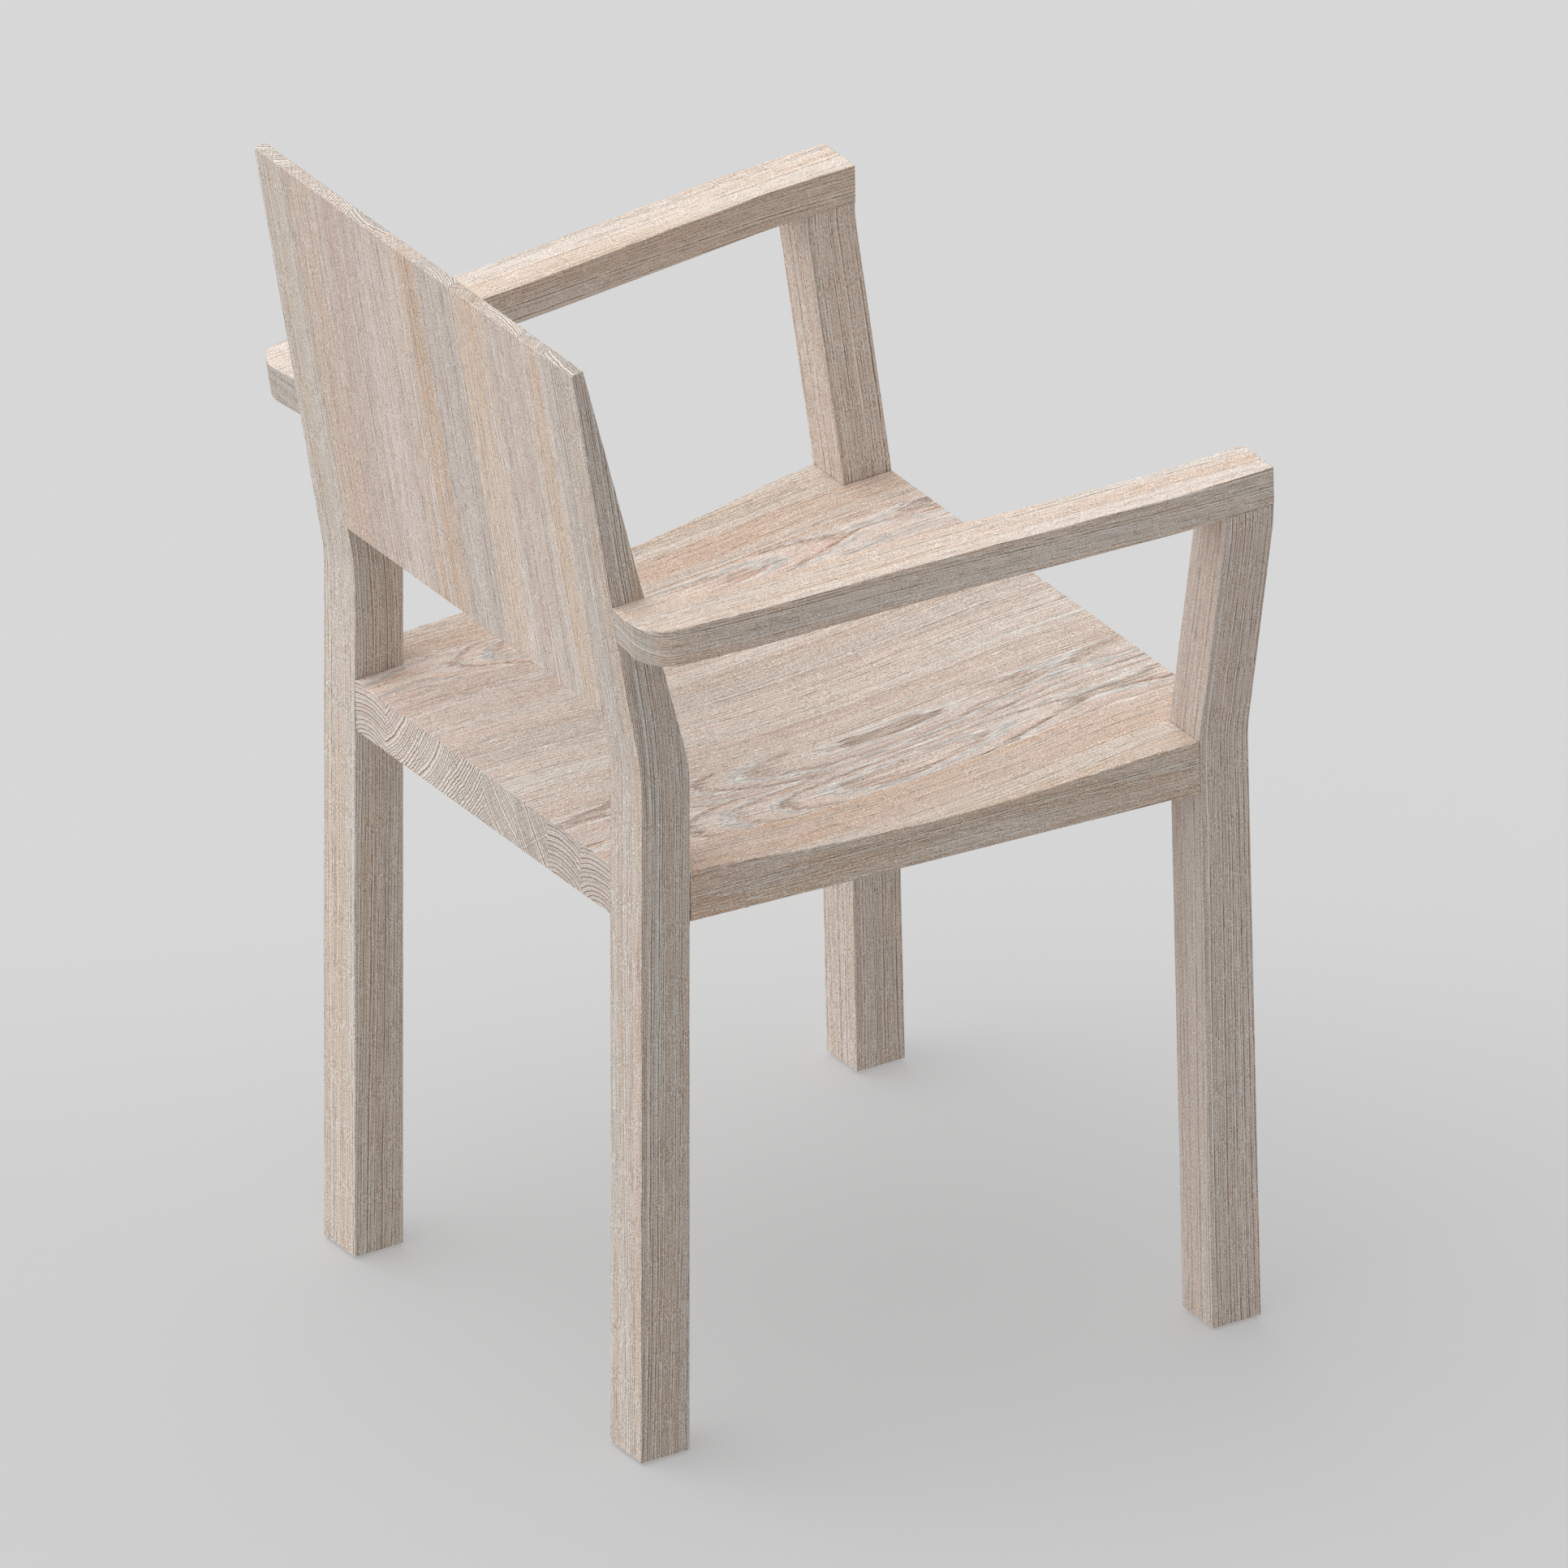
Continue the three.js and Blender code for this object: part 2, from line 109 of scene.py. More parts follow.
def bar(corners, radii, free_start, free_end):
    """Rings of points along a bar with four corners. corners is (stations, 4, 3), in order round the bar,
    radii (stations, 4) is each corner's radius, and each free end says which of its sides are eased.
    A corner's quarter circle has its centre in from it by the radius along both sides."""
    first, first_radii = turned_in(corners[0], corners[1], radii[0], free_start)
    last, last_radii = turned_in(corners[-1], corners[-2], radii[-1], free_end)
    corners = np.concatenate([first[::-1], corners[1:-1], last])
    radii = np.concatenate([first_radii[::-1], radii[1:-1], last_radii])[:, :, None, None]
    to_next = unit(np.roll(corners, -1, 1) - corners)[:, :, None]
    to_last = unit(np.roll(corners, 1, 1) - corners)[:, :, None]
    turn = turn_in[:, None]
    points = corners[:, :, None] + radii * (to_next * (1 - np.cos(turn)) + to_last * (1 - np.sin(turn)))
    return points.reshape(len(points), -1, 3)


def cap_marks(rings, start, end):
    """1 on the first and the last ring where the bar shows end grain there, and 0 elsewhere."""
    marks = np.zeros(rings.shape[:2])
    marks[0], marks[-1] = start, end
    return marks


def make_piece(node, rings, blank, end_grain, material):
    """A closed mesh from rings of points (rings, around, 3) in the chair's millimetres, capped at both
    ends, in place of a node. It carries where each point lay in the straight blank, where its end grain is,
    and which faces look to the side: flank is 2.5 times the size of the normal's x, less 1, from 0 to 1."""
    count, around = rings.shape[:2]
    index = np.arange(count * around).reshape(count, around)
    beside = np.roll(index, -1, 1)
    sides = np.stack([index[:-1], beside[:-1], beside[1:], index[1:]], -1).reshape(-1, 4)
    caps = [index[0, ::-1].tolist(), index[-1].tolist()]
    across, forward, up = rings.reshape(-1, 3).T
    mesh = bpy.data.meshes.new(node)
    points = np.stack([across, rear_plane - forward, up], -1) / 1000
    mesh.from_pydata(points.tolist(), [], sides.tolist() + caps)
    mesh.attributes.new("blank", "FLOAT_VECTOR", "POINT").data.foreach_set("vector", blank.reshape(-1))
    mesh.attributes.new("end_grain", "FLOAT", "POINT").data.foreach_set("value", end_grain.reshape(-1))
    loose = bmesh.new()
    loose.from_mesh(mesh)
    bmesh.ops.remove_doubles(loose, verts=loose.verts, dist=weld_distance)
    bmesh.ops.recalc_face_normals(loose, faces=loose.faces)
    loose.to_mesh(mesh)
    loose.free()
    facing = np.empty(3 * len(mesh.polygons), np.float32)
    mesh.polygons.foreach_get("normal", facing)
    flank = np.clip(2.5 * np.abs(facing[::3]) - 1, 0, 1)
    mesh.attributes.new("flank", "FLOAT", "FACE").data.foreach_set("value", flank)
    mesh.shade_smooth()
    mesh.set_sharp_from_angle(angle=crease)
    mesh.materials.append(material)
    piece = bpy.data.objects.new(f"oak_{node}", mesh)
    bpy.context.scene.collection.objects.link(piece)
    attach(piece, "root")
    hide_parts(node)


def add_node(tree, kind, inputs=(), **settings):
    """One shader node. Each input is a plain value or another node's output."""
    made = tree.nodes.new("ShaderNode" + kind)
    for name, value in settings.items():
        setattr(made, name, value)
    for key, value in dict(inputs).items():
        if isinstance(value, bpy.types.NodeSocket):
            tree.links.new(value, made.inputs[key])
        else:
            made.inputs[key].default_value = value
    return made


def linear(hex_colour):
    """A colour written as six sRGB hex digits, as the linear RGBA that a shader takes."""
    parts = [int(hex_colour[i:i + 2], 16) / 255 for i in (0, 2, 4)]
    return [((c + 0.055) / 1.055) ** 2.4 if c > 0.04045 else c / 12.92 for c in parts] + [1]


# The oak is one solid texture for every piece: growth rings round a pith line, lines drawn out along it and
# rays across it, all cut by the piece's faces, so that side grain, flames and end grain belong to one log. It
# is brushed open and limed, so its pores are white. Sizes are in millimetres, (across, along) the grain.
oak_inputs = (
    ("Pith", "NodeSocketVector", (0, 0, 0)), ("Turn", "NodeSocketVector", (0, 0, 0)),
    ("Ring", "NodeSocketFloat", 2.2), ("Fill", "NodeSocketFloat", 0.25),
    ("Pale", "NodeSocketColor", linear("f4e4d4")), ("Warm", "NodeSocketColor", linear("f0d8c4")),
)
# The dark colour is painted shade in the grooves and dips of the relief, and partly the darker late wood; the
# white is the lime.
dark_wood_and_groove_shade, lime_white = linear("907860"), linear("f8f4ee")
oak_outputs = ("Color", "NodeSocketColor"), ("Roughness", "NodeSocketFloat"), ("Height", "NodeSocketFloat")
# How the grain strays and how the rings stray from even circles: the size of each wave and how far it goes.
sweep_size, sweep_reach = (45, 280), 6.0
ripple_size, ripple_reach = (7, 45), 1.6
drift_length, drift_reach = 11, 4.0
fray_size, fray_reach = (1.3, 22), 0.9
# Where in a year's ring each wood starts, is full, wanes and is gone, and how strong the years are.
early_wood, late_wood = (0.0, 0.08, 0.15, 0.4), (0.6, 0.9, 0.95, 1.0)
weakest_year, year_spread = 0.3, 0.8
# The lines on the broad faces and on the flanks: width, detail, size of their patches, and gain.
line_rough, patch_edges, patch_shift = 0.6, (0.25, 0.7), 90
broad_lines = (1.5, 1.0, (2.5, 60), 1.8), (1.1, 0.0, (1.3, 11), 1.7)
# The higher gain on the flanks is painted light and shade of their relief.
narrow_lines = (1.2, 1.0, (2.5, 50), 3.5), (0.9, 0.0, (1.3, 11), 3.4)
# Strands of fibres, and how they fill the early wood's pores with white and close the late wood.
# The shift on the flanks darkens the faces that look to the side: painted shade.
strand_size, strand_gain, flank_painted_shade = (0.6, 50), 0.3, -0.09
filled_gain, filled_start, filled_least, filled_share = 3.0, -1.0, 0.2, 1.6
closed_gain, closed_start, closed_share = -3.0, 1.9, -0.6
# The brushed grit of the long faces, and the pores, rays and ridges of the end grain.
grit_size, pore_size, grit_place = (0.42, 1.3), (0.42, 0.6), (3, 1, 7)
grit_gain, pore_gain = 2.9, 4.5
ray_count, ray_gain, ray_start = 110, 1.6, -0.55
early_dip, ridge_gain = 1.3, 1.2
# The clouds of the two tints, the most that white or dark covers them, and the surface.
cloud_size, cloud_edges = (13, 420), (0.3, 0.7)
most_cover, dark_gain = 0.95, -0.8
flank_smoothness = -0.6
oak_matt, oak_matt_spread, oak_shine, groove_depth = 0.55, 0.2, 0.3, 0.0006
log_spacing = 1700


def build_oak():
    """The node group of the oak. Its coordinates are millimetres round the pith, which is its z axis."""
    group = bpy.data.node_groups.new("limed_oak", "ShaderNodeTree")
    for name, kind, value in oak_inputs:
        group.interface.new_socket(name, in_out="INPUT", socket_type=kind).default_value = value
    for name, kind in oak_outputs:
        group.interface.new_socket(name, in_out="OUTPUT", socket_type=kind)
    given = group.nodes.new("NodeGroupInput").outputs
    result = group.nodes.new("NodeGroupOutput").inputs

    def maths(operation, a, b=0.0, c=0.0):
        return add_node(group, "Math", {0: a, 1: b, 2: c}, operation=operation).outputs[0]

    def vectors(operation, a, b):
        return add_node(group, "VectorMath", {0: a, 1: b}, operation=operation).outputs[0]

    def stretched(vector, gain):
        return add_node(group, "VectorMath", {0: vector, "Scale": gain}, operation="SCALE").outputs[0]

    def scaled(vector, size):
        """The coordinates divided by a size across the grain and a size along it."""
        across, along = size
        return vectors("DIVIDE", vector, (across, across, along))

    def noise(vector, detail=1.0, output="Factor"):
        settings = {"Vector": vector, "Scale": 1.0, "Detail": detail, "Roughness": 0.5}
        return add_node(group, "TexNoise", settings).outputs[0 if output == "Factor" else 1]

    def noise_line(position, detail=1.0):
        """Noise along one axis, the same everywhere across it."""
        settings = {"W": position, "Scale": 1.0, "Detail": detail, "Roughness": line_rough}
        return add_node(group, "TexNoise", settings, noise_dimensions="1D").outputs[0]

    def between(value, low, high):
        """A soft step, from 0 at low to 1 at high."""
        step = add_node(group, "MapRange", {0: value, 1: low, 2: high}, interpolation_type="SMOOTHSTEP")
        return step.outputs[0]

    def part_of_year(phase, rise, full, wane, gone):
        """1 in one part of each ring and 0 in the rest."""
        return maths("MULTIPLY", between(phase, rise, full),
                     maths("SUBTRACT", 1.0, between(phase, wane, gone)))

    def mixed(share, a, b):
        return add_node(group, "Mix", {0: share, 2: a, 3: b}).outputs[0]

    def blend(share, a, b):
        return add_node(group, "Mix", {0: share, 6: a, 7: b}, data_type="RGBA").outputs[2]

    def cover(value):
        return maths("MINIMUM", maths("MAXIMUM", value, 0.0), most_cover)

    def round_zero(value, gain):
        """Noise shifted to lie round zero, times a gain."""
        return maths("MULTIPLY", maths("SUBTRACT", value, 0.5), gain)

    def drawn(place, width, detail, patch, gain):
        """Lines along the grain at a noise of their place across it, which come and go in patches."""
        line = noise_line(maths("DIVIDE", place, width), detail)
        patches = noise(scaled(vectors("ADD", grain, (width * patch_shift, 7, 3)), patch), 0.0)
        return maths("MULTIPLY", round_zero(line, gain), between(patches, *patch_edges))

    # Where a point lies in the log: its coordinates, its ring and its place in the ring.
    blank = add_node(group, "Attribute", attribute_name="blank").outputs["Vector"]
    mapped = add_node(group, "Mapping", {
        "Vector": blank, "Location": given["Pith"], "Rotation": given["Turn"]}).outputs[0]
    sweep = vectors("SUBTRACT", noise(scaled(mapped, sweep_size), output="Color"), (0.5, 0.5, 0.5))
    ripple = vectors("SUBTRACT", noise(scaled(mapped, ripple_size), output="Color"), (0.5, 0.5, 0.5))
    swept = vectors("ADD", mapped, stretched(sweep, sweep_reach))
    grain = vectors("ADD", swept, stretched(ripple, ripple_reach))
    x, y = add_node(group, "SeparateXYZ", {0: grain}).outputs[:2]
    distance = maths("SQRT", maths("MULTIPLY_ADD", x, x, maths("MULTIPLY", y, y)))
    drift = noise_line(maths("DIVIDE", distance, drift_length))
    uneven = maths("MULTIPLY_ADD", drift, drift_reach, distance)
    uneven = maths("MULTIPLY_ADD", noise(scaled(grain, fray_size)), fray_reach, uneven)
    rings = maths("DIVIDE", uneven, given["Ring"])
    phase = maths("FRACT", rings)
    year = add_node(group, "TexWhiteNoise", {"W": maths("FLOOR", rings)}, noise_dimensions="1D").outputs[0]
    strong = maths("MULTIPLY_ADD", year, year_spread, weakest_year)
    early, late = part_of_year(phase, *early_wood), part_of_year(phase, *late_wood)

    # Faces along the grain: drawn lines, finer on the flanks and there stronger and shifted darker as painted
    # light and shade of the relief, white early wood, dark late wood.
    flank = add_node(group, "Attribute", attribute_name="flank").outputs["Fac"]
    strand = noise(scaled(grain, strand_size), 0.0)
    grit = noise(scaled(vectors("ADD", mapped, grit_place), grit_size), 0.0)
    broad = maths("ADD", *(drawn(x, *line) for line in broad_lines))
    narrow = maths("ADD", *(drawn(y, *line) for line in narrow_lines))
    # Painted shade: the faces that look to the side are shifted darker.
    strands = maths("MULTIPLY_ADD", flank, flank_painted_shade, round_zero(strand, strand_gain))
    lines = maths("ADD", mixed(flank, broad, narrow), strands)
    filled = maths("MAXIMUM", maths("MULTIPLY_ADD", strand, filled_gain, filled_start), filled_least)
    filled = maths("MULTIPLY", maths("MULTIPLY", early, filled), filled_share)
    closed = maths("MAXIMUM", maths("MULTIPLY_ADD", strand, closed_gain, closed_start), 0.0)
    closed = maths("MULTIPLY", late, closed)
    figure = maths("MULTIPLY", maths("MULTIPLY_ADD", closed, closed_share, filled), strong)
    brushed = maths("MULTIPLY_ADD", figure, given["Fill"], lines)
    side = maths("ADD", brushed, round_zero(grit, grit_gain))

    # Faces across the grain: a ridge for each late wood, cut up by rays and by open pores.
    pore = noise(scaled(vectors("ADD", mapped, grit_place), pore_size), 0.0)
    rays = noise_line(maths("MULTIPLY", maths("ARCTAN2", y, x), ray_count))
    ridge = maths("MULTIPLY", maths("SUBTRACT", late, maths("MULTIPLY", early, early_dip)), strong)
    ridge = maths("MULTIPLY_ADD", ridge, ridge_gain, round_zero(pore, pore_gain))
    ridge = maths("ADD", ridge, maths("MULTIPLY_ADD", rays, ray_gain, ray_start))

    # The wood's two tints, covered with white where the relief is over zero and darkened where it is under.
    # The darkening is painted shade in the grooves and dips of the relief, and partly the darker late wood.
    end = add_node(group, "Attribute", attribute_name="end_grain").outputs["Fac"]
    relief = mixed(end, side, ridge)
    cloud = noise(scaled(mapped, cloud_size))
    wood = blend(between(cloud, *cloud_edges), given["Pale"], given["Warm"])
    wood = blend(cover(relief), wood, lime_white)
    wood = blend(cover(maths("MULTIPLY", relief, dark_gain)), wood, dark_wood_and_groove_shade)
    depth = maths("MULTIPLY", brushed, maths("MULTIPLY_ADD", flank, flank_smoothness, 1.0))
    group.links.new(wood, result["Color"])
    group.links.new(maths("MULTIPLY_ADD", strand, oak_matt_spread, oak_matt), result["Roughness"])
    group.links.new(mixed(end, depth, maths("SUBTRACT", late, early)), result["Height"])
    return group


oak_group = build_oak()


def limed_oak(name, heart, along, seed, ring=2.2, fill=0.25, **colours):
    """Oak whose pith passes through the point heart in the direction along, in the blank's millimetres.
    The seed is the log, ring the width of a year, fill how much the rings show, and colours are hex digits
    for pale and warm, the two tints of the bare wood."""
    material = bpy.data.materials.new(name)
    material.use_nodes = True
    tree = material.node_tree
    grain = Vector(along).normalized()
    over = (Vector((1, 0, 0)) - grain.x * grain).normalized()
    turn = Matrix((over, grain.cross(over), grain))
    oak = add_node(tree, "Group", node_tree=oak_group)
    oak.inputs["Pith"].default_value = Vector((0, 0, log_spacing * seed)) - turn @ Vector(heart)
    oak.inputs["Turn"].default_value = turn.to_euler()
    oak.inputs["Ring"].default_value = ring
    oak.inputs["Fill"].default_value = fill
    for socket, colour in colours.items():
        oak.inputs[socket.capitalize()].default_value = linear(colour)
    surface = tree.nodes["Principled BSDF"]
    surface.inputs["Specular IOR Level"].default_value = oak_shine
    grooves = add_node(tree, "Bump", {
        "Strength": 1.0, "Distance": groove_depth, "Height": oak.outputs["Height"]})
    tree.links.new(oak.outputs["Color"], surface.inputs["Base Color"])
    tree.links.new(oak.outputs["Roughness"], surface.inputs["Roughness"])
    tree.links.new(grooves.outputs[0], surface.inputs["Normal"])
    return material


rear_top = leaning(back_length, 0)[1]
front_top_forward, front_top = leaning(back_length, back_top_thickness)
front_slope = (post_depth - front_top_forward) / (front_top - front_bend_height)
seat_on_post, arm_on_post = (411, 453.5), (648.5, 678)
all_round, none = (1, 1, 1, 1), (0, 0, 0, 0)


def rear_leg(side, material):
    """Sections across the leg, each a rectangle between the rear and the front line of its side view. The
    edges are sharp where the seat, the armrest and the back panel are flush with them."""
    seat, arm = seat_on_post, arm_on_post
    panel = (leaning(panel_start, 0)[1] - 0.5, rear_top + 10)
    height = stations(sole, rear_top, *seat, *arm, panel[0])
    front_height = sole + (height - sole) * (front_top - sole) / (rear_top - sole)
    rear = -kinked(height, bend_height, bend_reach, math.tan(back_lean))
    front = post_depth - kinked(front_height, front_bend_height, bend_reach, front_slope)
    inner, outer = np.full_like(height, side * post_inner), np.full_like(height, side * post_outer)
    corners = np.stack([np.stack([outer, rear, height], -1), np.stack([outer, front, front_height], -1),
                        np.stack([inner, front, front_height], -1), np.stack([inner, rear, height], -1)], 1)
    radii = np.stack([eased(height, arm), eased(height, seat, arm),
                      eased(height, seat, panel), eased(height, seat, panel)], -1)
    rings = bar(corners, radii, all_round, all_round)
    blank = rings.copy()
    blank[..., 1] += kinked(rings[..., 2], bend_height, grain_bend_reach, math.tan(back_lean))
    make_piece(f"rear_leg_{hands[side]}", rings, blank, cap_marks(rings, 1, 1), material)


rear_leg(-1, limed_oak("oak_post_right", (-205, 150, 400), (0.01, 0.01, 1), 1, 1.9, fill=0.2,
                       pale="d1c8c1", warm="cebaab"))
rear_leg(1, limed_oak("oak_post_left", (290, 95, 400), (0.01, 0.01, 1), 2,
                      pale="d9cec4", warm="d7c1ae"))


# Back panel: eight upright staves, sawn to a wedge that is as thick as the posts below and thins to the top.
# They are glued edge to edge between the posts and planed flush, so only their grain tells them apart.
back_edges = (-163.5, -130.5, -87, -43.5, 0, 43.5, 87, 130.5, 163.5)
bend_off = 39.154
bend_up = -8.321
back_taper = (bend_off - back_top_thickness) / (back_length - bend_up)
back_grain, back_ring, back_fill = (0.01, 0.02, 1), 1.8, 0.2


def back_stave(number, material):
    """Sections up the leaning panel, each a rectangle as thick as the panel is there."""
    low, high = back_edges[number - 1:number + 1]
    up = stations(panel_start, back_length)
    off = bend_off - back_taper * (up - bend_up)
    flat = np.zeros_like(up)
    across = np.stack([flat + low, flat + high, flat + high, flat + low], 1)
    leans = [leaning(up, 0), leaning(up, 0), leaning(up, off), leaning(up, off)]
    forward, height = (np.stack([lean[i] for lean in leans], 1) for i in (0, 1))
    corners = np.stack([across, forward, height], -1)
    rings = bar(corners, np.zeros_like(across), (1, 0, 1, 0), (1, 0, 1, 0))
    beside, above = rings[..., 1], rings[..., 2] - bend_height
    blank = np.stack([rings[..., 0], beside * math.cos(back_lean) + above * math.sin(back_lean),
                      above * math.cos(back_lean) - beside * math.sin(back_lean)], -1)
    make_piece(f"back_stave_{number}", rings, blank, cap_marks(rings, 1, 1), material)


for number, heart, warm, pale in (
    (1, (-350, 90, 0), "e4c9b1", "e4d8d1"),
    (2, (-110, -110, 0), "d8c1b4", "daccc1"),
    (3, (-230, 100, 0), "e7c7ab", "e8dad1"),
    (4, (-20, -70, 0), "cfbfb5", "d4c8c0"),
    (5, (190, 90, 0), "d8b69a", "e2cfc2"),
    (6, (62, 85, 0), "d9c6bb", "e2d1c7"),
    (7, (260, -90, 0), "d4b9aa", "dac9bf"),
    (8, (330, 120, 0), "d7b6a0", "dcc7b9"),
):
    back_stave(number, limed_oak(f"oak_back_{number}", heart, back_grain, 10 + number, back_ring,
                                 fill=back_fill, pale=pale, warm=warm))


# Seat: twelve staves run from back to front, glued edge to edge and dished together on top. The inner ten
# pass between the legs; the outer two are wedges that end against the front legs at the slanting sides.
seat_height, seat_rake = 453.3, math.radians(1.35)
seat_depth, seat_thickness = 471, 40
dish_middle, dish_half, dish_depth = 225, 192, 9
seat_edges = (-247.5, -208.2, -166.56, -124.92, -83.28, -41.64, 0, 41.64, 83.28, 124.92, 166.56, 208.2, 247.5)
leg_rear = seat_depth - 39.8
notch_inner, notch_front = 163.2, 40.3
seat_grain = (0.01, 1, 0.025)


def tilted(points, height, rake):
    """Points (across, forward, up) of a frame whose forward axis rises by the rake, in the chair's own."""
    across, forward, up = np.moveaxis(points, -1, 0)
    return np.stack([across, forward * math.cos(rake) - up * math.sin(rake),
                     height + forward * math.sin(rake) + up * math.cos(rake)], -1)


def slanting_side(forward):
    """How far out the seat reaches at a distance forward."""
    return post_outer + (247.5 - post_outer) * (forward - post_depth) / (leg_rear - post_depth)


def seat_stave(number, material):
    """Sections from back to front. Their top edge dips by the power 1.5 of a parabola."""
    inner, outer = sorted(np.abs(seat_edges[number - 1:number + 1]))
    side = -1 if number <= 6 else 1
    wedge, beside_leg, notched = inner > 208, 166 < inner < 208, 124 < inner < 166
    slanting_from = post_depth + (208.2 - post_outer) * (leg_rear - post_depth) / (247.5 - post_outer)
    first = slanting_from if wedge else notch_front if beside_leg else 0
    last = leg_rear - 0.3 if wedge else seat_depth
    forward = stations(first, last, slanting_from)
    if notched:
        forward = np.unique(np.append(forward, (notch_front - 0.2, notch_front)))
    near, far = np.full_like(forward, inner), np.full_like(forward, outer)
    if wedge or beside_leg:
        far = np.minimum(far, slanting_side(forward))
    if notched:
        far = np.where(forward < notch_front - 0.1, notch_inner, far)
    share = np.clip((forward - dish_middle) / dish_half, -1, 1)
    top = -dish_depth * (1 - share ** 2) ** 1.5
    bottom = np.full_like(forward, -seat_thickness)
    edges = (near, bottom), (far, bottom), (far, top), (near, top)
    corners = np.stack([np.stack([side * across, forward, up], -1) for across, up in edges], 1)
    if wedge:
        free = eased(forward)
    else:
        free = eased(forward, (slanting_from, seat_depth + 10)) if beside_leg else 0 * forward
    radii = np.stack([0 * free, free, free, 0 * free], -1)
    rings = bar(corners, radii, none if wedge or beside_leg else (1, 0, 1, 0),
                none if wedge else (1, 0, 1, 0))
    make_piece(f"seat_stave_{number}", tilted(rings, seat_height, seat_rake), rings,
               cap_marks(rings, 1, 1), material)


for number, heart, ring, fill, warm, pale in (
    (1, (-330, 0, 60), 2.2, 0.3, "d2b7a0", "d7c7ba"),
    (2, (-330, 0, 60), 2.2, 0.3, "d2b097", "d3bcae"),
    (3, (-152, 0, -62), 3.4, 1.6, "d6bbac", "d9c9bf"),
    (4, (-98, 0, -66), 3.4, 1.6, "c8b0a4", "d4c3b8"),
    (5, (-190, 0, 70), 2.4, 0.3, "c9b0a0", "d1c0b4"),
    (6, (-120, 0, 80), 2.4, 0.3, "d2bcae", "d7cdc3"),
    (7, (170, 0, 90), 2.4, 0.3, "c6af9e", "cabbb2"),
    (8, (190, 0, 70), 2.4, 0.3, "d5bdae", "dccdc2"),
    (9, (230, 0, 80), 2.4, 0.3, "d4b7a6", "dccac1"),
    (10, (146, 0, -62), 3.4, 1.6, "e7c7b6", "eadbd0"),
    (11, (330, 0, 70), 2.2, 0.3, "d6b39a", "d5c1b2"),
    (12, (350, 0, 90), 2.2, 0.3, "d2b9a4", "d9cbbf"),
):
    seat_stave(number, limed_oak(f"oak_seat_{number}", heart, seat_grain, 30 + number, ring, fill=fill,
                                 pale=pale, warm=warm))


# Front legs: square to the raking seat, straight up to its top, kinked outwards to the armrest and upright
# again just under it. They are cut level at the floor and to the rake of the armrest at the top.
arm_height, arm_rake, arm_thickness = 677.6, math.radians(1.07), 29
leg_inner, leg_outer = 208.5, 247.5
leg_splay, knee_reach, top_bend_drop = 40.3, 12, 11


def leg_span(forward):
    """The leg's lowest and highest point in the seat's frame, at a distance forward."""
    low = (sole - seat_height - forward * math.sin(seat_rake)) / math.cos(seat_rake)
    rise = arm_height - seat_height - arm_thickness / math.cos(arm_rake)
    high = (rise + forward * (math.tan(arm_rake) - math.tan(seat_rake))) * math.cos(seat_rake)
    return low, high


upper_knee = leg_span((leg_rear + seat_depth) / 2)[1] - top_bend_drop


def swing(up):
    """How far the front leg has swung outwards at a height over the seat."""
    slope = leg_splay / upper_knee
    return kinked(up, 0, knee_reach, slope) - kinked(up, upper_knee, knee_reach, slope)


def front_leg(side, material):
    """Sections from the floor to the armrest, each a rectangle that is moved outwards by the swing."""
    low, high = leg_span((leg_rear + seat_depth) / 2)
    at_seat, at_arm = (-seat_thickness - 0.5, 0.5), (high - 1, high + 50)
    share = (stations(low, high, *at_seat, at_arm[0]) - low) / (high - low)
    lines = []
    for forward, edge in ((leg_rear, leg_outer), (seat_depth, leg_outer),
                          (seat_depth, leg_inner), (leg_rear, leg_inner)):
        bottom, top = leg_span(forward)
        up = bottom + share * (top - bottom)
        lines.append(np.stack([side * (edge + swing(up)), np.full_like(up, forward), up], -1))
    corners = np.stack(lines, 1)
    up = corners[:, 0, 2]
    beside_seat = eased(up, at_seat, at_arm)
    radii = np.stack([beside_seat, eased(up, at_arm), beside_seat, beside_seat], -1)
    rings = bar(corners, radii, all_round, none)
    blank = rings.copy()
    blank[..., 0] -= side * swing(rings[..., 2])
    make_piece(f"front_leg_{hands[side]}", tilted(rings, seat_height, seat_rake), blank,
               cap_marks(rings, 1, 1), material)


front_leg(-1, limed_oak("oak_leg_right", (-300, 480, 0), (-0.01, 0.0, 1), 3, pale="dccec5", warm="dac4b6"))
front_leg(1, limed_oak("oak_leg_left", (170, 500, 0), (0.01, 0.0, 1), 4, pale="e5d7cd", warm="e1ccbd"))


# Armrests: sawn strips of one width that swing outwards as they run forwards. The rear end is as slanted as
# the post it is dowelled to, rounded outside and coved inside.
arm_width, arm_rear_reach, arm_corner = 39.3, 52.6, 28
cove_run, cove_reach = 8.6, 14
corner_points, rear_points, outer_points, inner_points, cove_points = 25, 12, 120, 110, 15
arm_places, arm_swings, arm_bends = (0, 0.107, 0.44, 0.848, 1), (0, 0.18, 0.49, 1, 1), (10, 40, 20)
rear_edge = post_outer + arm_rear_reach
leg_front_top = (arm_height - seat_height - arm_thickness / 2
                 + seat_depth * (math.tan(arm_rake) - math.tan(seat_rake)))
arm_length = (seat_depth / math.cos(seat_rake) - leg_front_top * math.tan(seat_rake)) / math.cos(arm_rake)


def post_on_arm(height, knee, start, slope):
    """Where a leaning face of the post crosses a level of the armrest, forward in the armrest's frame."""
    rise = arm_height - knee + height / math.cos(arm_rake)
    forward = (start - slope * rise) / (1 + slope * math.tan(arm_rake))
    return forward / math.cos(arm_rake) + height * math.tan(arm_rake)


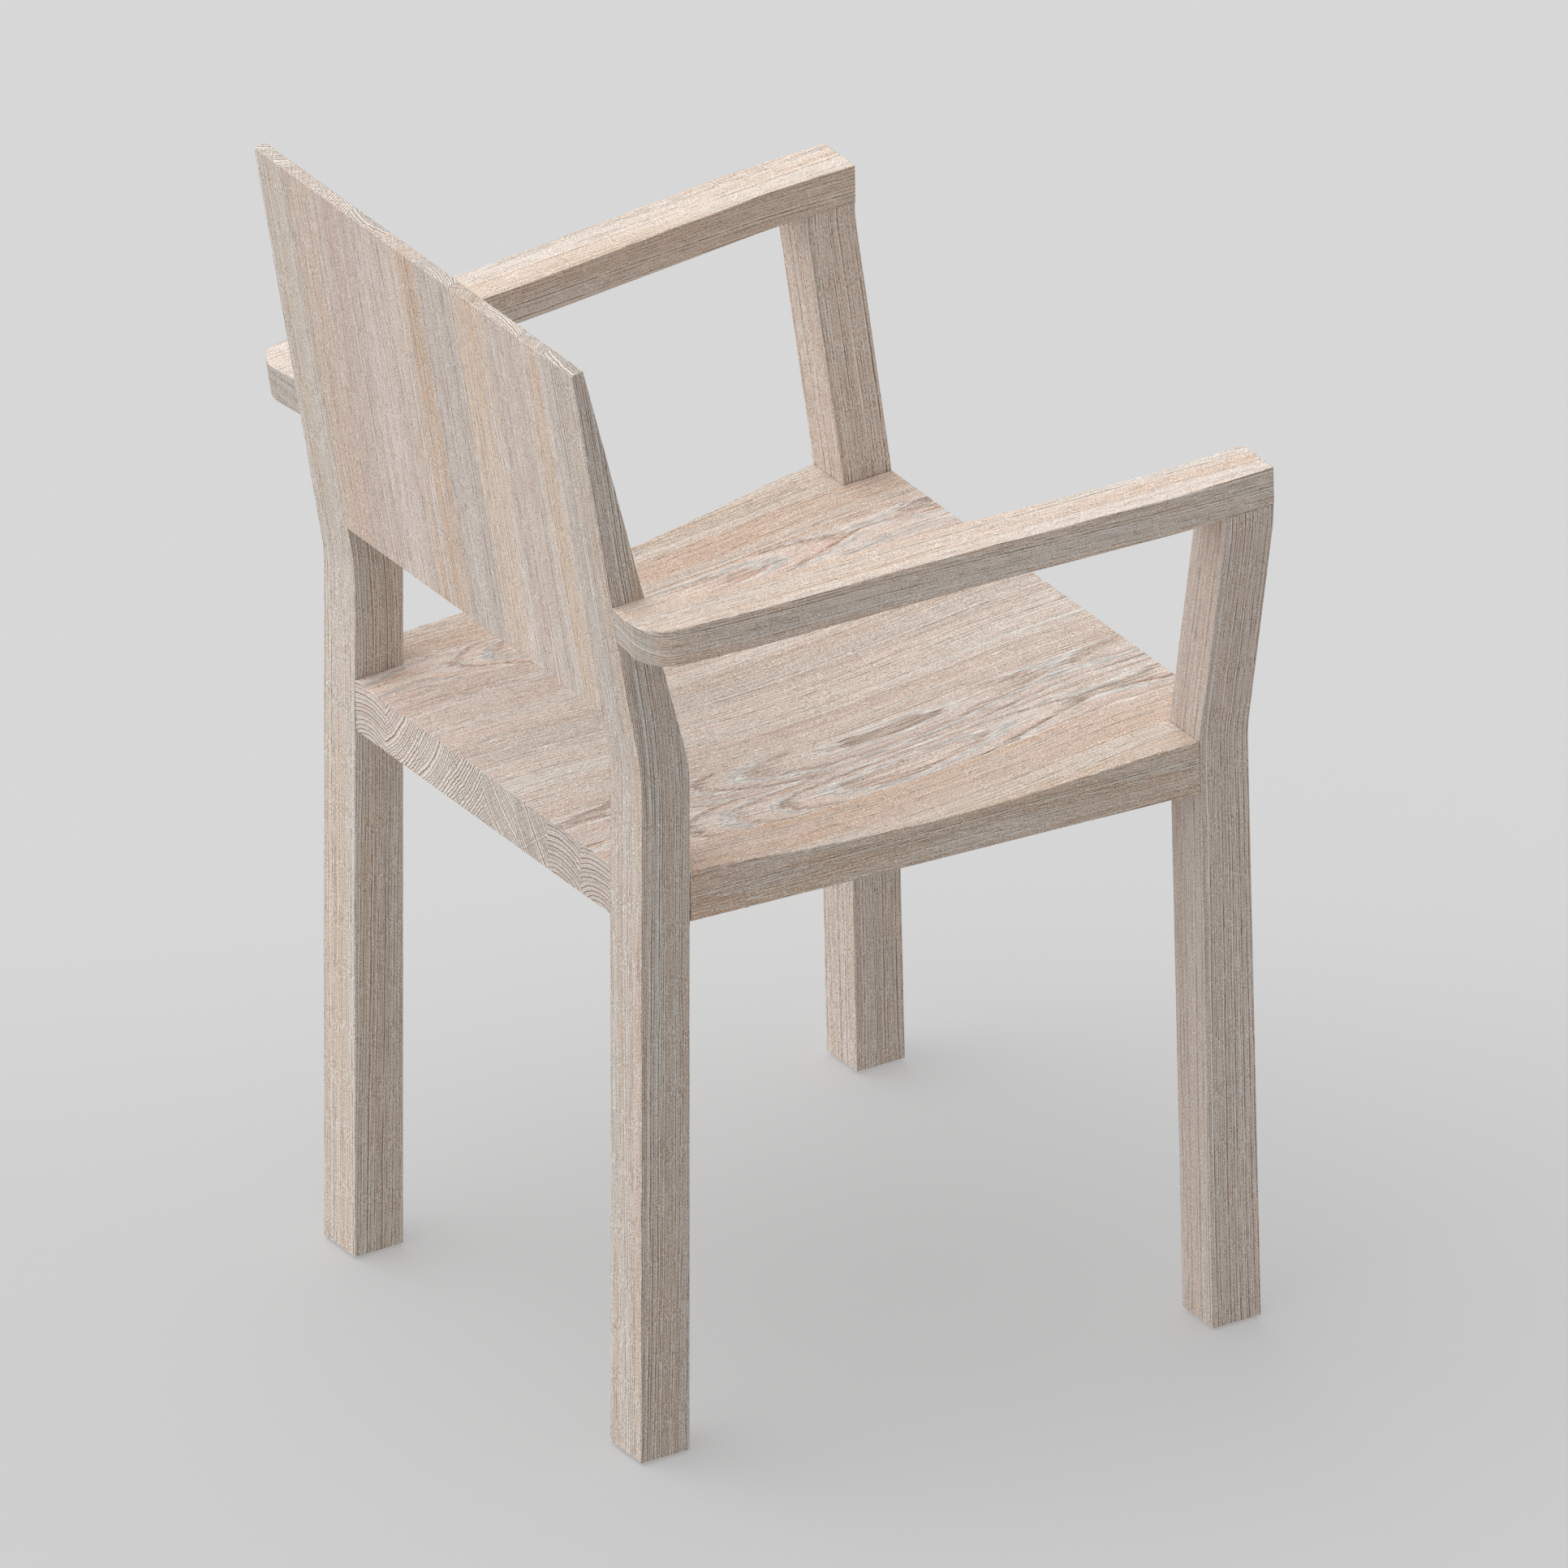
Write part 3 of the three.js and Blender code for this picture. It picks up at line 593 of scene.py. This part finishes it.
def arm_plan(height):
    """The closed plan at a level, from the post's rear corner round the outside to its front corner. It is
    a chain of straight runs joined by soft bends, and the inner edge lies a width inside the outer one."""
    post_rear = np.array([post_outer, post_on_arm(height, bend_height, 0, math.tan(back_lean))])
    post_front = np.array([post_outer, post_on_arm(height, front_bend_height, post_depth, front_slope)])
    places = np.array(arm_places) * arm_length
    swings = rear_edge + np.array(arm_swings) * (leg_outer + leg_splay - rear_edge)
    slopes = np.diff(swings) / np.diff(places)
    run = unit(np.array([slopes[0], 1]))
    square = np.array([-run[1], run[0]])
    start = np.array([rear_edge, 0])
    corner = start + run * ((post_rear - start) @ run)
    turn = np.linspace(0, math.pi / 2, corner_points)[:, None]
    rounded = corner + arm_corner * (run * (1 - np.cos(turn)) + square * (1 - np.sin(turn)))
    rear = np.linspace(post_rear, rounded[0], rear_points)[:-1]
    forward = np.linspace(rounded[-1, 1], arm_length, outer_points)
    across = rear_edge + slopes[0] * forward
    for place, bend, reach in zip(places[1:], np.diff(slopes), arm_bends):
        across = across + kinked(forward, place, reach, bend)
    outside = np.stack([across, forward], -1)
    slope = np.gradient(across, forward)
    inside = outside + arm_width * unit(np.stack([-np.ones_like(slope), slope], -1))
    first_inner = start + arm_width * square
    cove = first_inner + run * ((post_front[1] + cove_run - first_inner[1]) / run[1])
    cove_end = cove + run * cove_reach
    level = np.linspace(arm_length - easing, cove_end[1], inner_points)[:-1]
    inside = np.stack([np.interp(level, inside[:, 1], inside[:, 0]), level], -1)
    share = np.linspace(0, 1, cove_points)[:, None]
    flush = cove + unit(post_front - cove) * min(cove_reach, np.linalg.norm(post_front - cove) - 0.5)
    curve = (1 - share) ** 2 * cove_end + 2 * share * (1 - share) * cove + share ** 2 * flush
    eased_corner = easing * np.stack([1 - np.cos(turn_in), 1 - np.sin(turn_in)], -1)
    front_outer = np.array([outside[-1, 0], arm_length]) - eased_corner * (1, 1)
    front_inner = np.array([inside[0, 0], arm_length]) + (eased_corner * (1, -1))[::-1]
    return np.concatenate([rear, rounded, outside[1:-1], front_outer, front_inner, inside[1:], curve,
                           post_front[None]])


def armrest(side, material):
    """Plans from the underside to the top, joined by straight lines. At both faces the plan is set in round
    a quarter circle, but for the face against the post."""
    ends = np.array([arm_plan(-arm_thickness), arm_plan(0)])
    inwards = unit(np.roll(ends, -1, 1) - np.roll(ends, 1, 1))[..., ::-1] * (-1, 1)
    inwards[:, 0], inwards[:, -1] = (0, 1), (0, -1)
    turn = np.concatenate([turn_in[::-1], turn_in])
    count = len(turn_in)
    height = np.concatenate([-arm_thickness + easing * (1 - np.sin(turn[:count])),
                             -easing * (1 - np.sin(turn[count:]))])
    share = (height / arm_thickness + 1)[:, None, None]
    plan = (1 - share) * ends[0] + share * ends[1]
    inwards = (1 - share) * inwards[0] + share * inwards[1]
    plan = plan + (easing * (1 - np.cos(turn)))[:, None, None] * inwards
    level = np.broadcast_to(height[:, None, None], plan.shape[:2] + (1,))
    rings = np.concatenate([plan * (side, 1), level], -1)
    end_grain = np.clip((np.abs(inwards[..., 1]) - 0.5) / 0.4, 0, 1)
    end_grain[[0, -1]] = 0
    make_piece(f"armrest_{hands[side]}", tilted(rings, arm_height, arm_rake), rings,
               end_grain, material)


armrest(-1, limed_oak("oak_arm_right", (-215, 0, -150), (0.06, -1, 0.02), 5, fill=0.15,
                       pale="e0d3c9", warm="dcc1ad"))
armrest(1, limed_oak("oak_arm_left", (240, 0, -130), (-0.06, -1, 0.02), 6, fill=0.1,
                      pale="e3d6cb", warm="dcc3af"))


# Dowels: 22 beech pegs that hold the chair together, glued into blind holes in the joints, so that none shows
# in the finished chair. They are turned smooth from straight pale beech and left bare.
beech_pale, beech_fleck = linear("d9b48f"), linear("a87a55")
fibre_scale, fleck_scale = 700, 1100

beech = bpy.data.materials.new("bare_beech")
beech.use_nodes = True
pegs = beech.node_tree
on_peg = add_node(pegs, "TexCoord").outputs["Object"]
fibres = add_node(pegs, "TexNoise", {
    "Vector": on_peg, "Scale": fibre_scale, "Detail": 4, "Roughness": 0.65}).outputs[0]
flecks = add_node(pegs, "TexVoronoi", {"Vector": on_peg, "Scale": fleck_scale}).outputs["Distance"]
flecks = add_node(pegs, "MapRange", {0: flecks, 1: 0.15, 2: 0.45, 3: 0.7, 4: 0.0}).outputs[0]
flecks = add_node(pegs, "Math", {0: flecks, 1: fibres}, operation="MULTIPLY").outputs[0]
beech_colour = add_node(pegs, "Mix", {0: flecks, 6: beech_pale, 7: beech_fleck}, data_type="RGBA").outputs[2]
turned = add_node(pegs, "Bump", {"Strength": 0.5, "Distance": 0.0001, "Height": fibres}).outputs[0]
pegs.links.new(beech_colour, pegs.nodes["Principled BSDF"].inputs["Base Color"])
pegs.links.new(turned, pegs.nodes["Principled BSDF"].inputs["Normal"])
pegs.nodes["Principled BSDF"].inputs["Roughness"].default_value = 0.6
for name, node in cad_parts.items():
    if name.startswith("dowel_"):
        node.material_slots[0].material = beech


# Foot glides: four moulded grey nylon buttons with a bevelled rim, each on a nail knocked up into the end
# grain of a leg. They lift the legs 2 mm off the floor, and their undersides are scuffed.
nylon_clean, nylon_scuffed = linear("8f8a84"), linear("a8a49e")
scuff_scale, stipple_scale = 320, 2600

nylon = bpy.data.materials.new("grey_nylon")
nylon.use_nodes = True
buttons = nylon.node_tree
on_button = add_node(buttons, "TexCoord").outputs["Object"]
scuffs = add_node(buttons, "TexNoise", {
    "Vector": on_button, "Scale": scuff_scale, "Detail": 5, "Roughness": 0.7}).outputs[0]
worn = add_node(buttons, "MapRange", {0: scuffs, 1: 0.5, 2: 0.7}, interpolation_type="SMOOTHSTEP").outputs[0]
stipple = add_node(buttons, "TexNoise", {"Vector": on_button, "Scale": stipple_scale, "Detail": 1}).outputs[0]
nylon_colour = add_node(buttons, "Mix", {
    0: worn, 6: nylon_clean, 7: nylon_scuffed}, data_type="RGBA").outputs[2]
sheen = add_node(buttons, "MapRange", {0: worn, 3: 0.4, 4: 0.65}).outputs[0]
moulded = add_node(buttons, "Bump", {"Strength": 0.4, "Distance": 0.00005, "Height": stipple}).outputs[0]
buttons.links.new(nylon_colour, buttons.nodes["Principled BSDF"].inputs["Base Color"])
buttons.links.new(sheen, buttons.nodes["Principled BSDF"].inputs["Roughness"])
buttons.links.new(moulded, buttons.nodes["Principled BSDF"].inputs["Normal"])
for name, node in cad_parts.items():
    if name.startswith("glide_"):
        node.material_slots[0].material = nylon


# Studio: one parallel view from behind, above and the sitter's right, over a pale seamless floor.
# The light is one wide dome, brightest high up behind the sitter's left shoulder, so every shadow is soft.
view_azimuth = math.radians(237.29)
view_elevation = math.radians(27.58)
view_aim = Vector((-0.03024, -0.01646, 0.39258))
view_width = 1932 / 1780

to_camera = Vector((
    math.sin(view_azimuth) * math.cos(view_elevation),
    -math.cos(view_azimuth) * math.cos(view_elevation),
    math.sin(view_elevation),
))
camera = bpy.data.objects.new("camera", bpy.data.cameras.new("camera"))
camera.data.type = "ORTHO"
camera.data.ortho_scale = view_width
camera.location = view_aim + 4 * to_camera
camera.rotation_euler = to_camera.to_track_quat("Z", "Y").to_euler()
bpy.context.scene.collection.objects.link(camera)
bpy.context.scene.camera = camera
bpy.context.scene.view_settings.view_transform = "Standard"

dome_fill = 0.23
dome_glow = 2.3
dome_focus = 2
dome_brightest = Vector((0.435, 0.452, 1)).normalized()
paper_grey = linear("d6d6d6")

world = bpy.data.worlds.new("dome")
world.use_nodes = True
bpy.context.scene.world = world
dome = world.node_tree
dome.nodes.clear()
outwards = add_node(dome, "TexCoord").outputs["Generated"]
towards = add_node(dome, "VectorMath", {0: outwards, 1: dome_brightest}, operation="DOT_PRODUCT")
glow = add_node(dome, "Math", {0: towards.outputs["Value"], 1: 0.0}, operation="MAXIMUM").outputs[0]
glow = add_node(dome, "Math", {0: glow, 1: dome_focus}, operation="POWER").outputs[0]
light = add_node(dome, "Math", {0: glow, 1: dome_glow, 2: dome_fill}, operation="MULTIPLY_ADD").outputs[0]
path = add_node(dome, "LightPath").outputs
seen = add_node(dome, "Math", {0: path["Is Camera Ray"], 1: path["Is Glossy Ray"]}, operation="MAXIMUM")
shown = add_node(dome, "Mix", {0: seen.outputs[0], 6: light, 7: paper_grey}, data_type="RGBA").outputs[2]
surround = add_node(dome, "Background", {"Color": shown, "Strength": 1})
add_node(dome, "OutputWorld", {"Surface": surround.outputs[0]})

paper_reflects, paper_glows = 0.41, 0.515
falloff_start, falloff_end, falloff = -0.55, 0.0, 0.925
floor_reach = 7

# The paper glows a little, painted light that keeps shadows on it light, and its grey is painted darker
# towards the camera, painted shade of the light falling off towards the front.
floor_mesh = bpy.data.meshes.new("floor")
floor_corners = [(floor_reach * x, floor_reach * y, 0) for x, y in ((-1, -1), (1, -1), (1, 1), (-1, 1))]
floor_mesh.from_pydata(floor_corners, [], [(0, 1, 2, 3)])
floor = bpy.data.objects.new("floor", floor_mesh)
bpy.context.scene.collection.objects.link(floor)
paper = bpy.data.materials.new("studio_paper")
paper.use_nodes = True
sheet = paper.node_tree
on_sheet = add_node(sheet, "TexCoord").outputs["Object"]
nearer = add_node(sheet, "VectorMath", {0: on_sheet, 1: (to_camera.x, to_camera.y, 0)},
                  operation="DOT_PRODUCT").outputs["Value"]
shade = add_node(sheet, "MapRange", {0: nearer, 1: falloff_start, 2: falloff_end, 3: 1, 4: falloff},
                 interpolation_type="SMOOTHSTEP").outputs[0]
grey = add_node(sheet, "VectorMath", {0: paper_grey[:3], "Scale": shade}, operation="SCALE").outputs[0]
reflected = add_node(sheet, "VectorMath", {0: grey, "Scale": paper_reflects}, operation="SCALE").outputs[0]
matt = sheet.nodes["Principled BSDF"]
sheet.links.new(reflected, matt.inputs["Base Color"])
sheet.links.new(grey, matt.inputs["Emission Color"])
matt.inputs["Emission Strength"].default_value = paper_glows
matt.inputs["Roughness"].default_value = 0.9
matt.inputs["Specular IOR Level"].default_value = 0.0
floor_mesh.materials.append(paper)
